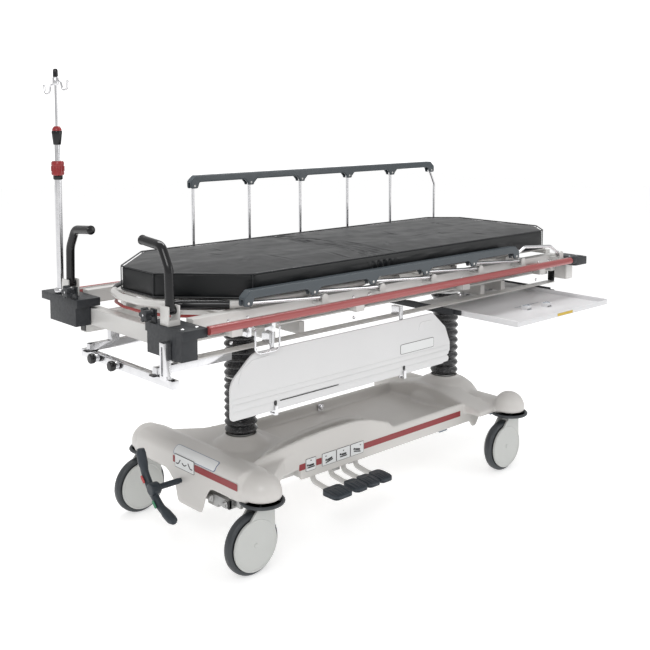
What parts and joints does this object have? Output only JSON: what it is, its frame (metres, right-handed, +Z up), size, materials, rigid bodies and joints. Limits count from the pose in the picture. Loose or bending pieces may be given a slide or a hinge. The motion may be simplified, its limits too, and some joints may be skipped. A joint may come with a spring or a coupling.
{
  "type": "stretcher trolley",
  "caption": "Wheeled hospital stretcher with padded litter, raising backrest, folding side rails, hydraulic lift columns, moulded base and foot pedals.",
  "frame": {"origin": "centre of the bounding box at floor level", "axes": "+X from the head end to the foot end, +Y from the tray side to the drip-pole side, +Z up"},
  "size_m": [2.083, 1.076, 1.593],
  "materials": {
    "shell_plastic": "satin",
    "painted_frame": "satin",
    "chrome": "satin",
    "steel": "satin",
    "bellows_rubber": "satin",
    "ring_rubber": "satin",
    "tyre": "satin",
    "fork_cover": "satin",
    "pedal_black": "satin",
    "cast_black": "satin",
    "rail_slate": "satin",
    "bumper_red": "satin",
    "lever_red": "satin",
    "vinyl": "satin",
    "grip_black": "satin",
    "clutch_red": "satin",
    "board_plastic": "satin",
    "tray_plastic": "satin"
  },
  "bodies": {
    "base": {"base_frame": "steel", "base_shroud": "shell_plastic", "cylinders": "steel", "bumper_rings": "ring_rubber", "bellows_foot": "bellows_rubber", "bellows_head_lower": "bellows_rubber"},
    "carriage": {"ram_foot": "steel", "stage_head": "steel", "bellows_head_upper": "bellows_rubber"},
    "head_ram": {"ram_head": "steel"},
    "litter": {"litter_frame": "painted_frame", "seat_deck": "painted_frame", "rail_brackets": "painted_frame", "head_brackets": "cast_black", "foot_brackets": "cast_black", "bumper_rails": "bumper_red", "handle_sockets": "painted_frame", "pole_base": "clutch_red", "board_hanger": "chrome", "tray_runner": "cast_black", "accessory_frame": "chrome", "mattress_seat": "vinyl"},
    "backrest": {"backrest_frame": "painted_frame", "mattress_back": "vinyl"},
    "release_bar": {"release_bar": "lever_red"},
    "release_lever": {"release_lever": "lever_red"},
    "side_board": {"side_board": "board_plastic"},
    "tray": {"tray": "tray_plastic"},
    "tray_slide": {"tray_slide": "cast_black"},
    "handle_near": {"push_handle_near": "grip_black"},
    "handle_far": {"push_handle_far": "grip_black"},
    "pole_middle": {"pole_middle": "clutch_red"},
    "pole_top": {"pole_top": "chrome"},
    "brake_bar": {"brake_pedal": "pedal_black"},
    "pump_pedal": {"pump_pedal": "pedal_black"},
    "release_pedal_head": {"release_pedal_head_down": "pedal_black"},
    "release_pedal_level": {"release_pedal_level_down": "pedal_black"},
    "release_pedal_foot": {"release_pedal_foot_down": "pedal_black"},
    "caster_head_near": {"caster_fork_head_near": "fork_cover"},
    "wheel_head_near": {"wheel_head_near": "tyre"},
    "caster_head_far": {"caster_fork_head_far": "fork_cover"},
    "wheel_head_far": {"wheel_head_far": "tyre"},
    "caster_foot_near": {"caster_fork_foot_near": "fork_cover"},
    "wheel_foot_near": {"wheel_foot_near": "tyre"},
    "caster_foot_far": {"caster_fork_foot_far": "fork_cover"},
    "wheel_foot_far": {"wheel_foot_far": "tyre"},
    "spindle_near_1": {"spindle_near_1": "chrome"},
    "spindle_near_2": {"spindle_near_2": "chrome"},
    "spindle_near_3": {"spindle_near_3": "chrome"},
    "spindle_near_4": {"spindle_near_4": "chrome"},
    "spindle_near_5": {"spindle_near_5": "chrome"},
    "spindle_near_6": {"spindle_near_6": "chrome"},
    "side_rail_near": {"side_rail_near": "rail_slate"},
    "spindle_far_1": {"spindle_far_1": "chrome"},
    "spindle_far_2": {"spindle_far_2": "chrome"},
    "spindle_far_3": {"spindle_far_3": "chrome"},
    "spindle_far_4": {"spindle_far_4": "chrome"},
    "spindle_far_5": {"spindle_far_5": "chrome"},
    "spindle_far_6": {"spindle_far_6": "chrome"},
    "side_rail_far": {"side_rail_far": "rail_slate"}
  },
  "joints": [
    {"name": "lift", "type": "slide", "parent": "base", "child": "carriage", "axis": [0, 0, 1], "range_m": [-0.1, 0.1], "deforming": ["bellows_foot", "bellows_head_lower"]},
    {"name": "tilt", "type": "hinge", "parent": "carriage", "child": "litter", "pos_m": [0.6015, 0.086, 0.735], "axis": [0, -1, 0], "range_deg": [-9, 5]},
    {"name": "head_ram_slide", "type": "slide", "parent": "carriage", "child": "head_ram", "axis": [0, 0, 1], "range_m": [-0.1, 0.18], "deforming": ["bellows_head_upper"]},
    {"name": "backrest_hinge", "type": "hinge", "parent": "litter", "child": "backrest", "pos_m": [-0.1135, 0.086, 0.861], "axis": [0, 1, 0], "range_deg": [0, 75]},
    {"name": "release_bar_hinge", "type": "hinge", "parent": "backrest", "child": "release_bar", "pos_m": [-0.7495, 0.086, 0.826], "axis": [0, 1, 0], "range_deg": [0, 4], "stiffness_Nm_per_rad": 30, "springref_deg": -8.59},
    {"name": "release_lever_hinge", "type": "hinge", "parent": "litter", "child": "release_lever", "pos_m": [0.6765, 0.086, 0.812], "axis": [0, 1, 0], "range_deg": [0, 20], "stiffness_Nm_per_rad": 2, "springref_deg": -22.92},
    {"name": "board_lift", "type": "slide", "parent": "litter", "child": "side_board", "axis": [0, 0, 1], "range_m": [0, 0.07]},
    {"name": "tray_pull", "type": "slide", "parent": "litter", "child": "tray", "axis": [0, 1, 0], "range_m": [-0.12, 0.028]},
    {"name": "tray_slide_travel", "type": "slide", "parent": "litter", "child": "tray_slide", "axis": [0, 1, 0], "range_m": [-0.06, 0.014]},
    {"name": "handle_near_fold", "type": "hinge", "parent": "litter", "child": "handle_near", "pos_m": [-0.9835, -0.21, 0.878], "axis": [-1, 0, 0], "range_deg": [0, 85]},
    {"name": "handle_far_fold", "type": "hinge", "parent": "litter", "child": "handle_far", "pos_m": [-0.9835, 0.382, 0.878], "axis": [1, 0, 0], "range_deg": [0, 85]},
    {"name": "pole_middle_slide", "type": "slide", "parent": "litter", "child": "pole_middle", "axis": [0, 0, 1], "range_m": [-0.03, 0.3]},
    {"name": "pole_top_slide", "type": "slide", "parent": "pole_middle", "child": "pole_top", "axis": [0, 0, 1], "range_m": [-0.1, 0.28]},
    {"name": "brake_turn", "type": "hinge", "parent": "base", "child": "brake_bar", "pos_m": [-0.8535, 0.101, 0.213], "axis": [-1, 0, 0], "range_deg": [0, 80]},
    {"name": "pump_pedal_press", "type": "hinge", "parent": "base", "child": "pump_pedal", "pos_m": [-0.3285, -0.094, 0.196], "axis": [1, 0, 0], "range_deg": [0, 14], "stiffness_Nm_per_rad": 6, "springref_deg": -20.05},
    {"name": "release_pedal_head_press", "type": "hinge", "parent": "base", "child": "release_pedal_head", "pos_m": [-0.2415, -0.094, 0.196], "axis": [1, 0, 0], "range_deg": [0, 10], "stiffness_Nm_per_rad": 6, "springref_deg": -20.05},
    {"name": "release_pedal_level_press", "type": "hinge", "parent": "base", "child": "release_pedal_level", "pos_m": [-0.1795, -0.094, 0.196], "axis": [1, 0, 0], "range_deg": [0, 10], "stiffness_Nm_per_rad": 6, "springref_deg": -20.05},
    {"name": "release_pedal_foot_press", "type": "hinge", "parent": "base", "child": "release_pedal_foot", "pos_m": [-0.1175, -0.094, 0.196], "axis": [1, 0, 0], "range_deg": [0, 10], "stiffness_Nm_per_rad": 6, "springref_deg": -20.05},
    {"name": "caster_head_near_swivel", "type": "hinge", "parent": "base", "child": "caster_head_near", "pos_m": [-0.6685, -0.239, 0.24], "axis": [0, 0, 1], "continuous": true},
    {"name": "wheel_head_near_spin", "type": "hinge", "parent": "caster_head_near", "child": "wheel_head_near", "pos_m": [-0.7135, -0.239, 0.1], "axis": [0, 1, 0], "continuous": true},
    {"name": "caster_head_far_swivel", "type": "hinge", "parent": "base", "child": "caster_head_far", "pos_m": [-0.6685, 0.411, 0.24], "axis": [0, 0, 1], "continuous": true},
    {"name": "wheel_head_far_spin", "type": "hinge", "parent": "caster_head_far", "child": "wheel_head_far", "pos_m": [-0.7135, 0.411, 0.1], "axis": [0, 1, 0], "continuous": true},
    {"name": "caster_foot_near_swivel", "type": "hinge", "parent": "base", "child": "caster_foot_near", "pos_m": [0.6265, -0.239, 0.24], "axis": [0, 0, 1], "continuous": true},
    {"name": "wheel_foot_near_spin", "type": "hinge", "parent": "caster_foot_near", "child": "wheel_foot_near", "pos_m": [0.5815, -0.239, 0.1], "axis": [0, 1, 0], "continuous": true},
    {"name": "caster_foot_far_swivel", "type": "hinge", "parent": "base", "child": "caster_foot_far", "pos_m": [0.6265, 0.411, 0.24], "axis": [0, 0, 1], "continuous": true},
    {"name": "wheel_foot_far_spin", "type": "hinge", "parent": "caster_foot_far", "child": "wheel_foot_far", "pos_m": [0.5815, 0.411, 0.1], "axis": [0, 1, 0], "continuous": true},
    {"name": "rail_near_swing", "type": "hinge", "parent": "litter", "child": "spindle_near_1", "pos_m": [-0.4385, -0.274, 0.852], "axis": [0, 1, 0], "range_deg": [0, 85.49]},
    {"name": "spindle_near_2_swing", "type": "hinge", "parent": "litter", "child": "spindle_near_2", "pos_m": [-0.1695, -0.274, 0.852], "axis": [0, 1, 0], "range_deg": [0, 85.49]},
    {"name": "spindle_near_3_swing", "type": "hinge", "parent": "litter", "child": "spindle_near_3", "pos_m": [0.0985, -0.274, 0.852], "axis": [0, 1, 0], "range_deg": [0, 85.49]},
    {"name": "spindle_near_4_swing", "type": "hinge", "parent": "litter", "child": "spindle_near_4", "pos_m": [0.3705, -0.274, 0.852], "axis": [0, 1, 0], "range_deg": [0, 85.49]},
    {"name": "spindle_near_5_swing", "type": "hinge", "parent": "litter", "child": "spindle_near_5", "pos_m": [0.6405, -0.274, 0.852], "axis": [0, 1, 0], "range_deg": [0, 85.49]},
    {"name": "spindle_near_6_swing", "type": "hinge", "parent": "litter", "child": "spindle_near_6", "pos_m": [0.9085, -0.274, 0.852], "axis": [0, 1, 0], "range_deg": [0, 85.49]},
    {"name": "rail_near_level", "type": "hinge", "parent": "spindle_near_1", "child": "side_rail_near", "pos_m": [-0.75552, -0.274, 0.877], "axis": [0, 1, 0], "range_deg": [-85.49, 0]},
    {"name": "rail_far_swing", "type": "hinge", "parent": "litter", "child": "spindle_far_1", "pos_m": [-0.4385, 0.446, 0.852], "axis": [0, -1, 0], "range_deg": [0, 85.49]},
    {"name": "spindle_far_2_swing", "type": "hinge", "parent": "litter", "child": "spindle_far_2", "pos_m": [-0.1695, 0.446, 0.852], "axis": [0, -1, 0], "range_deg": [0, 85.49]},
    {"name": "spindle_far_3_swing", "type": "hinge", "parent": "litter", "child": "spindle_far_3", "pos_m": [0.0985, 0.446, 0.852], "axis": [0, -1, 0], "range_deg": [0, 85.49]},
    {"name": "spindle_far_4_swing", "type": "hinge", "parent": "litter", "child": "spindle_far_4", "pos_m": [0.3705, 0.446, 0.852], "axis": [0, -1, 0], "range_deg": [0, 85.49]},
    {"name": "spindle_far_5_swing", "type": "hinge", "parent": "litter", "child": "spindle_far_5", "pos_m": [0.6405, 0.446, 0.852], "axis": [0, -1, 0], "range_deg": [0, 85.49]},
    {"name": "spindle_far_6_swing", "type": "hinge", "parent": "litter", "child": "spindle_far_6", "pos_m": [0.9085, 0.446, 0.852], "axis": [0, -1, 0], "range_deg": [0, 85.49]},
    {"name": "rail_far_level", "type": "hinge", "parent": "spindle_far_1", "child": "side_rail_far", "pos_m": [-0.4385, 0.446, 1.17], "axis": [0, -1, 0], "range_deg": [-85.49, 0]}
  ],
  "couplings": [
    {"joint": "head_ram_slide", "follows": "tilt", "m_per_rad": -1.1},
    {"joint": "tray_slide_travel", "follows": "tray_pull", "ratio": 0.5},
    {"joint": "spindle_near_2_swing", "follows": "rail_near_swing", "ratio": 1},
    {"joint": "spindle_near_3_swing", "follows": "rail_near_swing", "ratio": 1},
    {"joint": "spindle_near_4_swing", "follows": "rail_near_swing", "ratio": 1},
    {"joint": "spindle_near_5_swing", "follows": "rail_near_swing", "ratio": 1},
    {"joint": "spindle_near_6_swing", "follows": "rail_near_swing", "ratio": 1},
    {"joint": "rail_near_level", "follows": "rail_near_swing", "ratio": -1},
    {"joint": "spindle_far_2_swing", "follows": "rail_far_swing", "ratio": 1},
    {"joint": "spindle_far_3_swing", "follows": "rail_far_swing", "ratio": 1},
    {"joint": "spindle_far_4_swing", "follows": "rail_far_swing", "ratio": 1},
    {"joint": "spindle_far_5_swing", "follows": "rail_far_swing", "ratio": 1},
    {"joint": "spindle_far_6_swing", "follows": "rail_far_swing", "ratio": 1},
    {"joint": "rail_far_level", "follows": "rail_far_swing", "ratio": -1}
  ]
}
